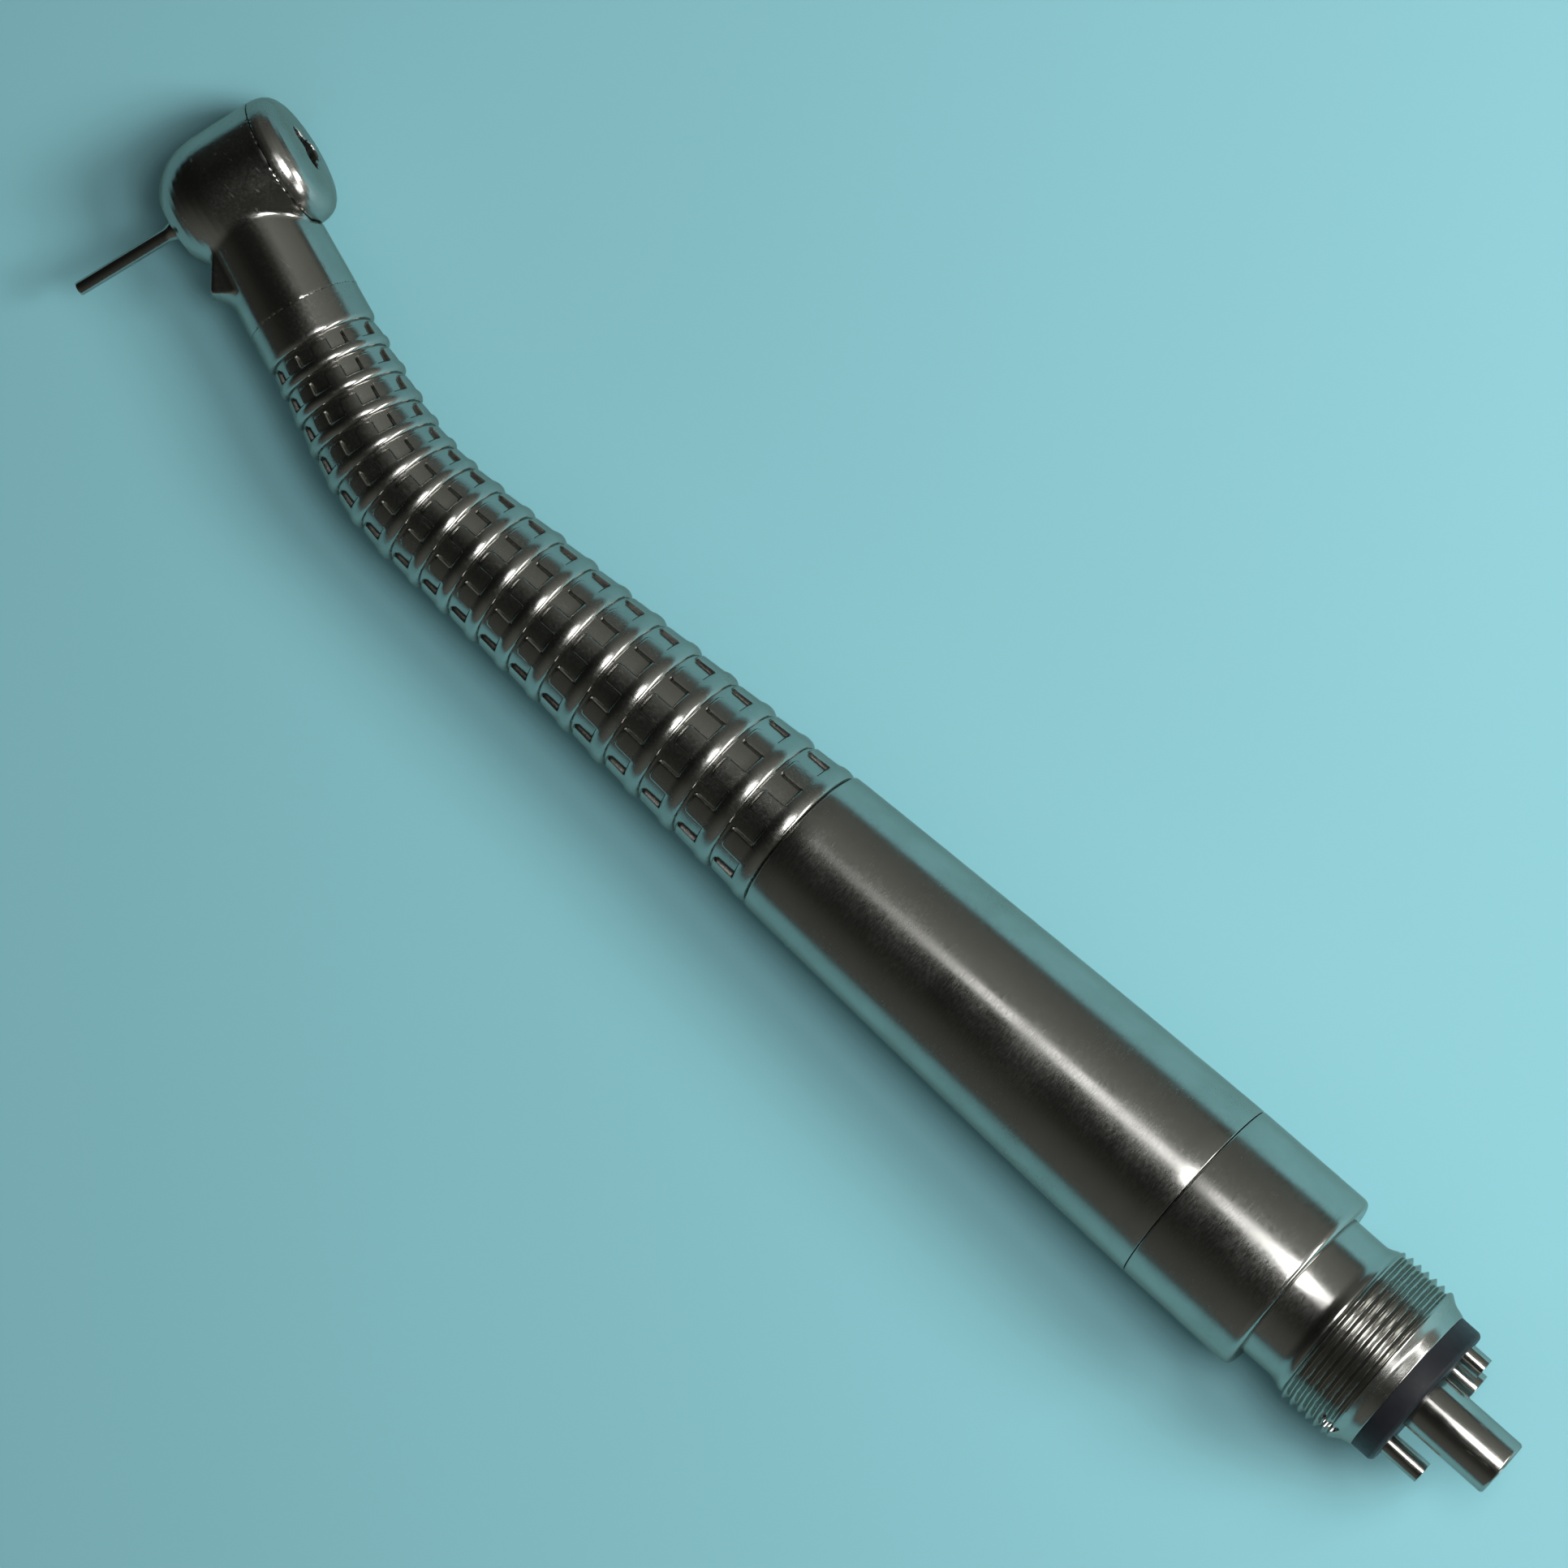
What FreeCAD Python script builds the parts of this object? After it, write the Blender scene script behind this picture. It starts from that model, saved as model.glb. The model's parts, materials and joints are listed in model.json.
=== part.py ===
# Air-turbine dental handpiece lying on its side, millimetres.
# Row frame: origin on the body axis, at the middle of the coupling thread. +X runs rearward
# along the body to the tubing connector, +Y is the side the head's cap faces, +Z is up from
# the table. The design frame has the bend plane level and its origin at the gasket seat; a
# last shift and a small pitch set the head and the rear ring on the table together.
import FreeCAD
import Part
import math
import os

V = FreeCAD.Vector

# Overall layout
bend_angle = 19.5
bend_radius = 25.0
neck_length = 24.0
straight_length = 94.8

# Head and cap
head_radius = 5.0
cap_radius = 5.02
head_top = 3.9
head_nose = -5.2
cap_height = 2.1
chamber_radius = 4.25
nose_hole_radius = 1.25
key_lobe_radius = 0.85
key_lobe_offset = 1.05
lug_half_width = 3.0
lug_rear = 7.6
lug_belly = 7.25
lug_rump = 6.0

# Neck and grip
neck_radius = 4.12
neck_end = 10.0
neck_bore = 3.0
rib_count = 18
rib_first = 12.4
rib_pitch_first = 2.2
rib_pitch_last = 3.65
rib_width_ratio = 0.42
groove_depth = 0.42
groove_gap = 0.28
pad_count = 10
pad_angle = 19.0
pad_first_angle = 9.0
pad_drop = 0.14
grip_wall = 0.5
grip_rear_radius = 5.93

# Sleeve, ring and connector
sleeve_length = 36.6
sleeve_bulge = 0.10
sleeve_wall = 0.75
ring_front_radius = 7.30
ring_rear_radius = 7.42
ring_length = 9.65
ring_edge = 0.5
plug_radius = 6.35
plug_length = 5.6
connector_neck_radius = 5.9
thread_radius = 6.55
thread_depth = 0.36
thread_pitch = 0.7056
thread_turns = 6
collar_length = 1.65
seat_radius = 5.8
gasket_radius = 5.72
gasket_length = 1.8
line_step_x = gasket_length - 0.15

# Tubes: outer radius, bore radius, position at the connector (y, z), reach past the seat
exhaust_radius = 2.15
exhaust_bore = 1.75
exhaust_at = (0.1, 2.2)
exhaust_reach = 8.8
drive_radius = 1.2
drive_bore = 0.85
drive_at = (2.3, -2.9)
drive_reach = 3.8
small_radius = 0.82
small_bore = 0.5
line_step = 0.17
water_at = (-4.0, 0.1)
water_reach = 4.9
chip_at = (4.1, 0.1)
chip_reach = 3.4
drive_in_grip = (0.0, -1.6)
water_in_grip = (-1.6, 0.9)
chip_in_grip = (1.6, 0.9)
tube_front_station = 5.6
line_ease_angle = 12.0

# Turbine cartridge
race_outer = 2.9
race_outer_bore = 2.45
race_inner = 1.95
bearing_width = 2.0
ball_pitch = 2.2
ball_radius = 0.45
ball_count = 8
ball_clearance = 0.02
cage_inner = 2.04
cage_outer = 2.36
cage_height = 1.5
nose_bearing_base = -3.4
cap_bearing_base = 1.5
o_ring_section = 0.35
spindle_radius = 1.45
spindle_bore = 1.14
chuck_radius = 1.12
shank_radius = 0.8
shank_clearance = 0.01
bur_radius = 0.53
bur_tip = -13.7
impeller_radius = 3.9
impeller_hub = 2.0
blade_count = 8

B = math.radians(bend_angle)
tangent_length = bend_radius * math.tan(B / 2)
bend_start = neck_length - tangent_length
bend_end = bend_start + bend_radius * B
corner_x = -straight_length
head_x = corner_x - neck_length * math.cos(B)
head_y = neck_length * math.sin(B)
rearward_neck = V(math.cos(B), -math.sin(B), 0)
capward = V(math.sin(B), math.cos(B), 0)

ring_rear_x = -(collar_length + thread_pitch * (thread_turns + 0.3) + 3.65)
ring_front_x = ring_rear_x - ring_length
sleeve_front_x = ring_front_x - sleeve_length
grip_end = sleeve_front_x - corner_x - tangent_length + bend_end
cap_top = head_top + cap_height
bearing_seat = race_outer + 2 * o_ring_section
pitch = math.asin((ring_front_radius - cap_radius) / (ring_front_x - head_x))


def outline(start, *steps):
    """Closed face in the XZ plane. A step of 2 numbers is a line, of 4 an arc (middle, end)."""
    edges = []
    here = V(start[0], 0, start[1])
    for step in steps:
        there = V(step[-2], 0, step[-1])
        if len(step) == 4:
            edges.append(Part.Arc(here, V(step[0], 0, step[1]), there).toShape())
        else:
            edges.append(Part.makeLine(here, there))
        here = there
    edges.append(Part.makeLine(here, V(start[0], 0, start[1])))
    return Part.Face(Part.Wire(edges))


def turned(start, *steps):
    """Solid of revolution about local Z from an outline of (radius, height)."""
    return outline(start, *steps).revolve(V(0, 0, 0), V(0, 0, 1), 360)


def ring(outer, inner, low, high):
    return turned((inner, low), (outer, low), (outer, high), (inner, high))


def rod(radius, low, high, x=0.0, y=0.0):
    return Part.makeCylinder(radius, high - low, V(x, y, low))


def moved(shape, origin, x_axis, z_axis):
    """Carries a shape drawn about local Z to a place in the design frame."""
    y_axis = z_axis.cross(x_axis)
    matrix = FreeCAD.Matrix(
        x_axis.x, y_axis.x, z_axis.x, origin.x,
        x_axis.y, y_axis.y, z_axis.y, origin.y,
        x_axis.z, y_axis.z, z_axis.z, origin.z,
        0, 0, 0, 1)
    out = shape.copy()
    out.Placement = FreeCAD.Placement(matrix).multiply(out.Placement)
    return out


def on_head(shape):
    """Local Z is the head axis toward the cap, local X runs rearward along the neck."""
    return moved(shape, V(head_x, head_y, 0), rearward_neck, capward)


def on_body(shape):
    """Local Z is the body axis rearward, local X is +Y, local Y is +Z."""
    return moved(shape, V(0, 0, 0), V(0, 1, 0), V(1, 0, 0))


def centreline(s):
    """Point, rearward direction and cap-side direction, s mm back from the head axis."""
    if s <= bend_start:
        turn = -B
        point = V(head_x, head_y, 0) + rearward_neck * s
    elif s >= bend_end:
        turn = 0.0
        point = V(corner_x + tangent_length + s - bend_end, 0, 0)
    else:
        turn = -B + (s - bend_start) / bend_radius
        centre = V(corner_x + tangent_length, bend_radius, 0)
        point = centre + V(math.sin(turn), -math.cos(turn), 0) * bend_radius
    return point, V(math.cos(turn), math.sin(turn), 0), V(-math.sin(turn), math.cos(turn), 0)


def at_station(shape, s):
    """Local Z is rearward, local X is the cap side, local Y is +Z."""
    point, along, side = centreline(s)
    return moved(shape, point, side, along)


def envelope(s):
    """Radius over the rib crests: a slender neck that swells evenly to the sleeve."""
    knots = [(0.0, neck_radius), (rib_first, neck_radius + 0.13), (22.0, neck_radius + 0.46),
             (30.0, neck_radius + 0.62), (grip_end, grip_rear_radius)]
    for (s0, r0), (s1, r1) in zip(knots, knots[1:]):
        if s <= s1:
            return r0 + (r1 - r0) * (s - s0) / (s1 - s0)
    return grip_rear_radius


def stretch(start, end, front_radius, rear_radius):
    """Round solid along the centreline: a cone on a straight stretch, a torus piece in the bend."""
    if start >= bend_start - 0.001 and end <= bend_end + 0.001:
        disc = Part.Face(Part.Wire([Part.makeCircle(front_radius)]))
        swing = math.degrees((end - start) / bend_radius)
        pivot = V(corner_x + tangent_length, bend_radius, 0)
        return at_station(disc, start).revolve(pivot, V(0, 0, 1), swing)
    if abs(front_radius - rear_radius) < 0.0001:
        return at_station(rod(front_radius, 0, end - start), start)
    return at_station(Part.makeCone(front_radius, rear_radius, end - start), start)


def cell_core(start, end):
    """Groove floor between two ribs: it steps under the ribs where the tube is bent."""
    stops = [start] + [k for k in (bend_start, bend_end) if start + 0.01 < k < end - 0.01] + [end]
    bent = end > bend_start and start < bend_end
    middle = envelope((start + end) / 2) - groove_depth
    out = []
    for a, b in zip(stops, stops[1:]):
        front = middle if bent else envelope(a) - groove_depth
        rear = middle if bent else envelope(b) - groove_depth
        out.append(stretch(a, b, front, rear))
    return out


def grip_bore():
    inset = groove_depth + grip_wall
    narrow = envelope(bend_start) - inset
    front = stretch(neck_end + 1.8, bend_start, envelope(neck_end + 1.8) - inset, narrow)
    bent = stretch(bend_start, bend_end, narrow, narrow)
    back = stretch(bend_end, grip_end, narrow, envelope(grip_end) - inset)
    tail = rod(grip_rear_radius - sleeve_wall - 0.45, -0.1, 6.1)
    return front.multiFuse([bent, back, at_station(tail, grip_end)])


def rib_pitch(k):
    return rib_pitch_first + (rib_pitch_last - rib_pitch_first) * k / (rib_count - 2)


def rib_stations():
    """The pitch grows evenly rearward; the last rib stops short of the sleeve."""
    places = [rib_first]
    for k in range(rib_count - 1):
        places.append(places[-1] + rib_pitch(k))
    last = grip_end - 0.5 * rib_width_ratio * rib_pitch_last - 0.15
    scale = (last - rib_first) / (places[-1] - rib_first)
    return [rib_first + (p - rib_first) * scale for p in places]


def rib(s, width):
    floor = envelope(s) - groove_depth - 0.08
    half = width / 2
    return at_station(turned((floor - 0.2, -half), (floor, -half),
                             (envelope(s), 0, floor, half), (floor - 0.2, half)), s)


def pads(s0, s1, width):
    """Raised pads round one groove: they run rearward into the next rib."""
    low = s0 + width / 2 + groove_gap
    middle = (low + s1) / 2
    floor = envelope(middle) - groove_depth - 0.15
    face = outline((floor, low - middle), (envelope(low) - pad_drop, low - middle),
                   (envelope(s1) - pad_drop, s1 - middle), (floor, s1 - middle))
    sector = face.revolve(V(0, 0, 0), V(0, 0, 1), pad_angle)
    out = []
    for k in range(pad_count):
        turn = 90 - pad_first_angle - pad_angle / 2 - k * 360.0 / pad_count
        piece = sector.copy()
        piece.rotate(V(0, 0, 0), V(0, 0, 1), turn)
        out.append(at_station(piece, middle))
    return out


def grip_shell():
    places = rib_stations()
    core = at_station(Part.makeCone(envelope(neck_end), envelope(places[0]), places[0] - neck_end),
                      neck_end)
    features = cell_core(places[-1], grip_end)
    for k, s in enumerate(places):
        width = rib_width_ratio * rib_pitch(min(k, rib_count - 2))
        features.append(rib(s, width))
        if k + 1 < rib_count:
            features.extend(cell_core(s, places[k + 1]))
            features.extend(pads(s, places[k + 1], width))
    features.append(at_station(rod(grip_rear_radius - sleeve_wall, 0, 6.0), grip_end))
    mouth = at_station(rod(neck_bore + 0.5, 0, 1.8), neck_end)
    return core.multiFuse(features).cut(grip_bore()).cut(mouth)


def head_solid():
    """Outside of the head: a short barrel with a domed nose."""
    nose = head_nose
    r = head_radius
    return turned((0, nose), (1.7, nose), (0.58 * r, nose + 0.3),
                  (0.895 * r, nose + 2.1, r, nose + 4.6), (r, head_top), (0, head_top))


def neck_solid():
    return at_station(Part.makeCone(neck_radius + 0.0, envelope(neck_end), neck_end), 0)


def neck_outside():
    """Head and neck joined, trimmed level where the cap sits."""
    trim = rod(cap_radius + 0.05, head_top, head_top + 3)
    return on_head(head_solid()).fuse(neck_solid()).cut(on_head(trim))


def head_housing():
    chamber = rod(chamber_radius, nose_bearing_base + bearing_width - 0.1, head_top + 1)
    seat = rod(bearing_seat, nose_bearing_base, 0)
    relief = rod(2.3, head_nose + 1.0, nose_bearing_base + 0.1)
    hole = rod(nose_hole_radius, head_nose - 1, head_nose + 1.1)
    bore = at_station(rod(neck_bore, 0, neck_end), 5.4)
    drive_port = at_station(rod(0.85, -2, 0.1, 0, drive_in_grip[1]), 5.4)
    exhaust_port = at_station(rod(1.05, -2, 0.1, 0, 1.7), 5.4)
    spigot = at_station(rod(neck_bore + 0.5, 0, 1.8), neck_end)
    solid = neck_outside().fuse(spigot)
    for tool in (chamber, seat, relief, hole):
        solid = solid.cut(on_head(tool))
    for tool in (bore, drive_port, exhaust_port):
        solid = solid.cut(tool)
    return solid


def spray_block():
    """Lug under the neck, beside the nose, that carries the spray outlet: flat flanks, a
    sloped front, a bellied underside and a rounded rear end."""
    low = head_nose
    side = [(2.6, low + 2.8), (4.7, low + 0.65), (5.6, low), (6.2, low + 0.1),
            (lug_rear, low + 1.3), (lug_rear, low + 2.8), (2.6, low + 2.8)]
    profile = Part.makePolygon([V(x, 0, z) for x, z in side])
    lug = Part.Face(profile).extrude(V(0, 2 * lug_half_width, 0))
    lug.translate(V(0, -lug_half_width, 0))
    belly = Part.makeCylinder(lug_belly, 8, V(1, 0, low + lug_belly), V(1, 0, 0))
    rump = Part.makeCylinder(lug_rump, 8, V(lug_rear - lug_rump, 0, low - 1), V(0, 0, 1))
    lug = on_head(lug.common(belly).common(rump))
    outlet = Part.makeCylinder(0.25, 6, V(6.2, 0, head_nose + 0.9), V(-1, 0, -0.55))
    return lug.cut(neck_outside()).cut(on_head(outlet))


def head_cap():
    """Screw cap: skirt in the chamber, domed top with a three-lobed key opening."""
    r = cap_radius
    shell = turned((bearing_seat, head_top - 2.0), (chamber_radius, head_top - 2.0),
                   (chamber_radius, head_top), (r, head_top), (r, head_top + 0.75),
                   (r - 0.55, cap_top - 0.42, r - 1.75, cap_top - 0.05), (0, cap_top),
                   (0, head_top + 1.0), (2.3, head_top + 1.0), (2.3, head_top + 0.4),
                   (bearing_seat, head_top + 0.4))
    for k in range(3):
        turn = math.radians(120 * k + 90)
        x = key_lobe_offset * math.cos(turn)
        y = key_lobe_offset * math.sin(turn)
        shell = shell.cut(rod(key_lobe_radius, head_top, cap_top + 1, x, y))
    return on_head(shell.cut(rod(key_lobe_offset, head_top, cap_top + 1)))


def spring_washer():
    """Coned washer between the cap and the cap-side bearing."""
    low = cap_bearing_base + bearing_width
    high = head_top + 0.4
    return on_head(turned((2.5, low), (2.75, low), (bearing_seat - 0.1, high),
                          (bearing_seat - 0.35, high)))


def race_groove():
    return Part.makeTorus(ball_pitch, ball_radius + ball_clearance)


def outer_race(base):
    groove = race_groove()
    groove.translate(V(0, 0, base + bearing_width / 2))
    return on_head(ring(race_outer, race_outer_bore, base, base + bearing_width).cut(groove))


def inner_race(base):
    groove = race_groove()
    groove.translate(V(0, 0, base + bearing_width / 2))
    return on_head(ring(race_inner, spindle_radius, base, base + bearing_width).cut(groove))


def ball_centres(base):
    out = []
    for k in range(ball_count):
        turn = 2 * math.pi * k / ball_count
        out.append(V(ball_pitch * math.cos(turn), ball_pitch * math.sin(turn),
                     base + bearing_width / 2))
    return out


def balls(base):
    return on_head(Part.makeCompound([Part.makeSphere(ball_radius, c) for c in ball_centres(base)]))


def cage(base):
    middle = base + bearing_width / 2
    shape = ring(cage_outer, cage_inner, middle - cage_height / 2, middle + cage_height / 2)
    for centre in ball_centres(base):
        shape = shape.cut(Part.makeSphere(ball_radius + ball_clearance, centre))
    return on_head(shape)


def race_o_ring(base):
    torus = Part.makeTorus(race_outer + o_ring_section, o_ring_section)
    torus.translate(V(0, 0, base + bearing_width / 2))
    return on_head(torus)


def spindle():
    return on_head(ring(spindle_radius, spindle_bore, nose_bearing_base - 0.5, head_top + 0.4))


def impeller():
    low = nose_bearing_base + bearing_width + 0.2
    high = cap_bearing_base - 0.2
    wheel = ring(impeller_hub, spindle_radius, low, high)

    def at(radius, degrees):
        return V(radius * math.cos(math.radians(degrees)), radius * math.sin(math.radians(degrees)), low)

    middle = (impeller_hub + impeller_radius) / 2
    root = impeller_hub - 0.2
    front = Part.Arc(at(root, 0), at(middle, 11), at(impeller_radius, 0)).toShape()
    tip = Part.makeLine(at(impeller_radius, 0), at(impeller_radius, 5))
    back = Part.Arc(at(impeller_radius, 5), at(middle, 18), at(root, 9)).toShape()
    foot = Part.makeLine(at(root, 9), at(root, 0))
    blade = Part.Face(Part.Wire([front, tip, back, foot])).extrude(V(0, 0, high - low))
    blades = []
    for k in range(blade_count):
        piece = blade.copy()
        piece.rotate(V(0, 0, 0), V(0, 0, 1), 360.0 * k / blade_count)
        blades.append(piece)
    return on_head(wheel.multiFuse(blades).cut(rod(spindle_radius, low - 1, high + 1)))


def chuck():
    """Collet: split at the nose end, three-lobed key socket at the cap end."""
    low = nose_bearing_base - 0.3
    high = head_top + 0.3
    shape = rod(chuck_radius, low, high)
    shape = shape.cut(rod(shank_radius + shank_clearance, low - 1, 2.6))
    for k in range(3):
        slit = Part.makeBox(2, 0.24, 2.8, V(0, -0.12, low - 0.1))
        slit.rotate(V(0, 0, 0), V(0, 0, 1), 120 * k)
        shape = shape.cut(slit)
        turn = math.radians(120 * k + 90)
        shape = shape.cut(rod(0.36, 2.95, high + 1, 0.42 * math.cos(turn), 0.42 * math.sin(turn)))
    return on_head(shape)


def bur():
    """Plain test mandrel: full shank in the chuck, thinner rod outside, flat end."""
    return on_head(turned((0, bur_tip), (bur_radius - 0.05, bur_tip), (bur_radius, bur_tip + 0.05),
                          (bur_radius, head_nose - 0.9), (shank_radius, head_nose - 0.2),
                          (shank_radius, 2.4), (shank_radius - 0.1, 2.5), (0, 2.5)))


def sleeve_radius(x):
    """Outside of the sleeve: an even taper with a very slight swell."""
    share = (x - sleeve_front_x) / sleeve_length
    return (grip_rear_radius + (ring_front_radius - grip_rear_radius) * share
            + sleeve_bulge * 4 * share * (1 - share))


def rear_sleeve():
    front = sleeve_front_x
    rear = ring_front_x
    half = (front + rear) / 2
    inner = grip_rear_radius - sleeve_wall
    counter = rear - plug_length
    shape = turned((inner, front), (grip_rear_radius, front), (sleeve_radius(half), half),
                   (ring_front_radius - 0.03, rear - 0.12), (ring_front_radius - 0.15, rear),
                   (plug_radius, rear), (plug_radius, counter),
                   (sleeve_radius(counter) - sleeve_wall - 0.3, counter),
                   (inner, front + 6.0))
    return on_body(shape)


def rear_ring():
    front = ring_front_x
    rear = ring_rear_x
    edge = ring_edge
    r = ring_rear_radius
    shape = turned((plug_radius, front), (ring_front_radius - 0.15, front),
                   (ring_front_radius, front + 0.12), (r, rear - edge),
                   (r - 0.3 * edge, rear - 0.3 * edge, r - edge, rear),
                   (connector_neck_radius, rear), (connector_neck_radius, rear - 1.8),
                   (plug_radius, rear - 1.8))
    return on_body(shape)


def thread_steps():
    """Crest and root points of the coupling thread, from the front crest to the last."""
    start = -(collar_length + thread_turns * thread_pitch)
    root = thread_radius - thread_depth
    steps = [(root, start - 0.35 * thread_pitch), (thread_radius, start)]
    for k in range(thread_turns):
        crest = start + k * thread_pitch
        steps.append((thread_radius, crest + 0.12))
        steps.append((root, crest + 0.5 * thread_pitch + 0.03))
        steps.append((root, crest + 0.5 * thread_pitch + 0.09))
        steps.append((thread_radius, crest + thread_pitch))
    return steps


def tube_holes(less):
    """Four holes of the tubes' outer radius, each smaller by the given amount."""
    return [rod(exhaust_radius - less, -4, 4, *exhaust_at), rod(drive_radius - less, -4, 4, *drive_at),
            rod(small_radius - less, -4, 4, *water_at), rod(small_radius - less, -4, 4, *chip_at)]


def connector_body():
    """Tail piece: plug inside the sleeve and ring, neck, coupling thread, tapered collar."""
    front = ring_front_x - plug_length
    shoulder = ring_rear_x - 1.8
    neck = connector_neck_radius
    groove = ring_front_x - 0.5 * plug_length
    bottom = plug_radius - 2 * o_ring_section
    bore = seat_radius - 0.75
    plug_bore = plug_radius - 1.3
    steps = [(plug_radius, front), (plug_radius, groove - 0.5), (bottom, groove - 0.5),
             (bottom, groove + 0.5), (plug_radius, groove + 0.5), (plug_radius, shoulder),
             (neck, shoulder), (neck, ring_rear_x + 2.4)]
    steps.extend(thread_steps())
    steps.extend([(thread_radius, -collar_length + 0.1), (thread_radius - 0.5, -collar_length + 0.75),
                  (seat_radius, 0), (0, 0), (0, -2.6), (bore, -2.6), (bore, shoulder),
                  (plug_bore, ring_front_x)])
    shape = turned((plug_bore, front), *steps).removeSplitter()
    for hole in tube_holes(line_step):
        shape = shape.cut(hole)
    slot = Part.makeBox(1.2, 0.7, 1.3, V(5.45, -0.35, -2.5))
    slot.rotate(V(0, 0, 0), V(0, 0, 1), 146)
    return on_body(shape.cut(slot))


def body_o_ring():
    torus = Part.makeTorus(plug_radius - o_ring_section, o_ring_section)
    torus.translate(V(0, 0, ring_front_x - 0.5 * plug_length))
    return on_body(torus)


def gasket():
    r = gasket_radius
    shape = turned((0, 0), (r, 0), (r, gasket_length - 0.25), (r - 0.25, gasket_length), (0, gasket_length))
    for hole in tube_holes(0):
        shape = shape.cut(hole)
    return on_body(shape)


def exhaust_tube():
    r = exhaust_radius
    shape = turned((exhaust_bore, -2.6), (r - line_step, -2.6), (r - line_step, line_step_x),
                   (r, line_step_x), (r, exhaust_reach - 0.15), (r - 0.15, exhaust_reach),
                   (exhaust_bore, exhaust_reach))
    shape.translate(V(exhaust_at[0], exhaust_at[1], 0))
    return on_body(shape)


def swept_disc(radius, point, along, pivot, axis, degrees):
    """Quarter-torus style elbow: a disc at a point, facing along, swung about an axis."""
    disc = Part.Face(Part.Wire([Part.makeCircle(radius, point, along)]))
    return disc.revolve(pivot, axis, degrees)


def air_line(radius, at_rear, in_grip, reach):
    """Round solid: straight through the end plate, an easy S inward, then along the grip
    and round the bend into the neck."""
    forward = V(-1, 0, 0)
    start = V(-6.0, at_rear[0], at_rear[1])
    shift = V(0, in_grip[0] - at_rear[0], in_grip[1] - at_rear[1])
    ease = math.radians(line_ease_angle)
    ease_radius = shift.Length / (2 * (1 - math.cos(ease)))
    toward = shift * (1 / shift.Length)
    first = swept_disc(radius, start, forward, start + toward * ease_radius,
                       forward.cross(toward), line_ease_angle)
    middle = start + forward * (ease_radius * math.sin(ease)) + toward * (ease_radius * (1 - math.cos(ease)))
    slope = forward * math.cos(ease) + toward * math.sin(ease)
    end = V(start.x - 2 * ease_radius * math.sin(ease), in_grip[0], in_grip[1])
    second = swept_disc(radius, middle, slope, end - toward * ease_radius,
                        toward.cross(forward), line_ease_angle)
    rear = Part.makeCylinder(radius, reach - start.x, V(reach, at_rear[0], at_rear[1]), forward)
    bend_x = corner_x + tangent_length
    level = Part.makeCylinder(radius, end.x - bend_x, end, forward)
    elbow = swept_disc(radius, V(bend_x, in_grip[0], in_grip[1]), forward,
                       V(bend_x, bend_radius, 0), V(0, 0, -1), bend_angle)
    front = at_station(rod(radius, tube_front_station - bend_start, 0, in_grip[0], in_grip[1]),
                       bend_start)
    return rear.multiFuse([first, second, level, elbow, front])


def hollow_line(radius, bore, at_rear, in_grip, reach):
    """Tube with its full radius outside the handpiece and slightly less inside it."""
    line = air_line(radius - line_step, at_rear, in_grip, reach)
    tip = on_body(rod(radius, line_step_x, reach, *at_rear))
    return line.fuse(tip).cut(air_line(bore, at_rear, in_grip, reach))


def drive_air_tube():
    return hollow_line(drive_radius, drive_bore, drive_at, drive_in_grip, drive_reach)


def small_tube(at_rear, in_grip, reach):
    return hollow_line(small_radius, small_bore, at_rear, in_grip, reach)


def water_tube():
    return small_tube(water_at, water_in_grip, water_reach)


def chip_air_tube():
    return small_tube(chip_at, chip_in_grip, chip_reach)


nodes = {
    "head_housing": head_housing(),
    "spray_block": spray_block(),
    "head_cap": head_cap(),
    "spring_washer": spring_washer(),
    "cap_bearing_outer": outer_race(cap_bearing_base),
    "cap_bearing_inner": inner_race(cap_bearing_base),
    "cap_bearing_balls": balls(cap_bearing_base),
    "cap_bearing_cage": cage(cap_bearing_base),
    "cap_bearing_o_ring": race_o_ring(cap_bearing_base),
    "nose_bearing_outer": outer_race(nose_bearing_base),
    "nose_bearing_inner": inner_race(nose_bearing_base),
    "nose_bearing_balls": balls(nose_bearing_base),
    "nose_bearing_cage": cage(nose_bearing_base),
    "nose_bearing_o_ring": race_o_ring(nose_bearing_base),
    "spindle": spindle(),
    "impeller": impeller(),
    "chuck": chuck(),
    "bur": bur(),
    "grip_shell": grip_shell(),
    "rear_sleeve": rear_sleeve(),
    "rear_ring": rear_ring(),
    "connector_body": connector_body(),
    "body_o_ring": body_o_ring(),
    "gasket": gasket(),
    "exhaust_tube": exhaust_tube(),
    "drive_air_tube": drive_air_tube(),
    "water_tube": water_tube(),
    "chip_air_tube": chip_air_tube(),
}

# The shift to the thread's middle, then the pitch that rests the head's side and the ring's
# front edge on one level table.
thread_middle = collar_length + thread_pitch * thread_turns / 2
settle = FreeCAD.Placement(V(0, 0, 0), FreeCAD.Rotation(V(0, 1, 0), -math.degrees(pitch)))
settle = settle.multiply(FreeCAD.Placement(V(thread_middle, 0, 0), FreeCAD.Rotation()))
os.makedirs("parts", exist_ok=True)
for name, shape in nodes.items():
    shape.Placement = settle.multiply(shape.Placement)
    shape.exportStep("parts/" + name + ".step")
    print(name, shape.isValid(), len(shape.Solids), round(shape.Volume, 3))
print("pitch", round(math.degrees(pitch), 4))
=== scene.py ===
import bpy
import json
import math
import numpy as np
from mathutils import Matrix, Vector


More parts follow.
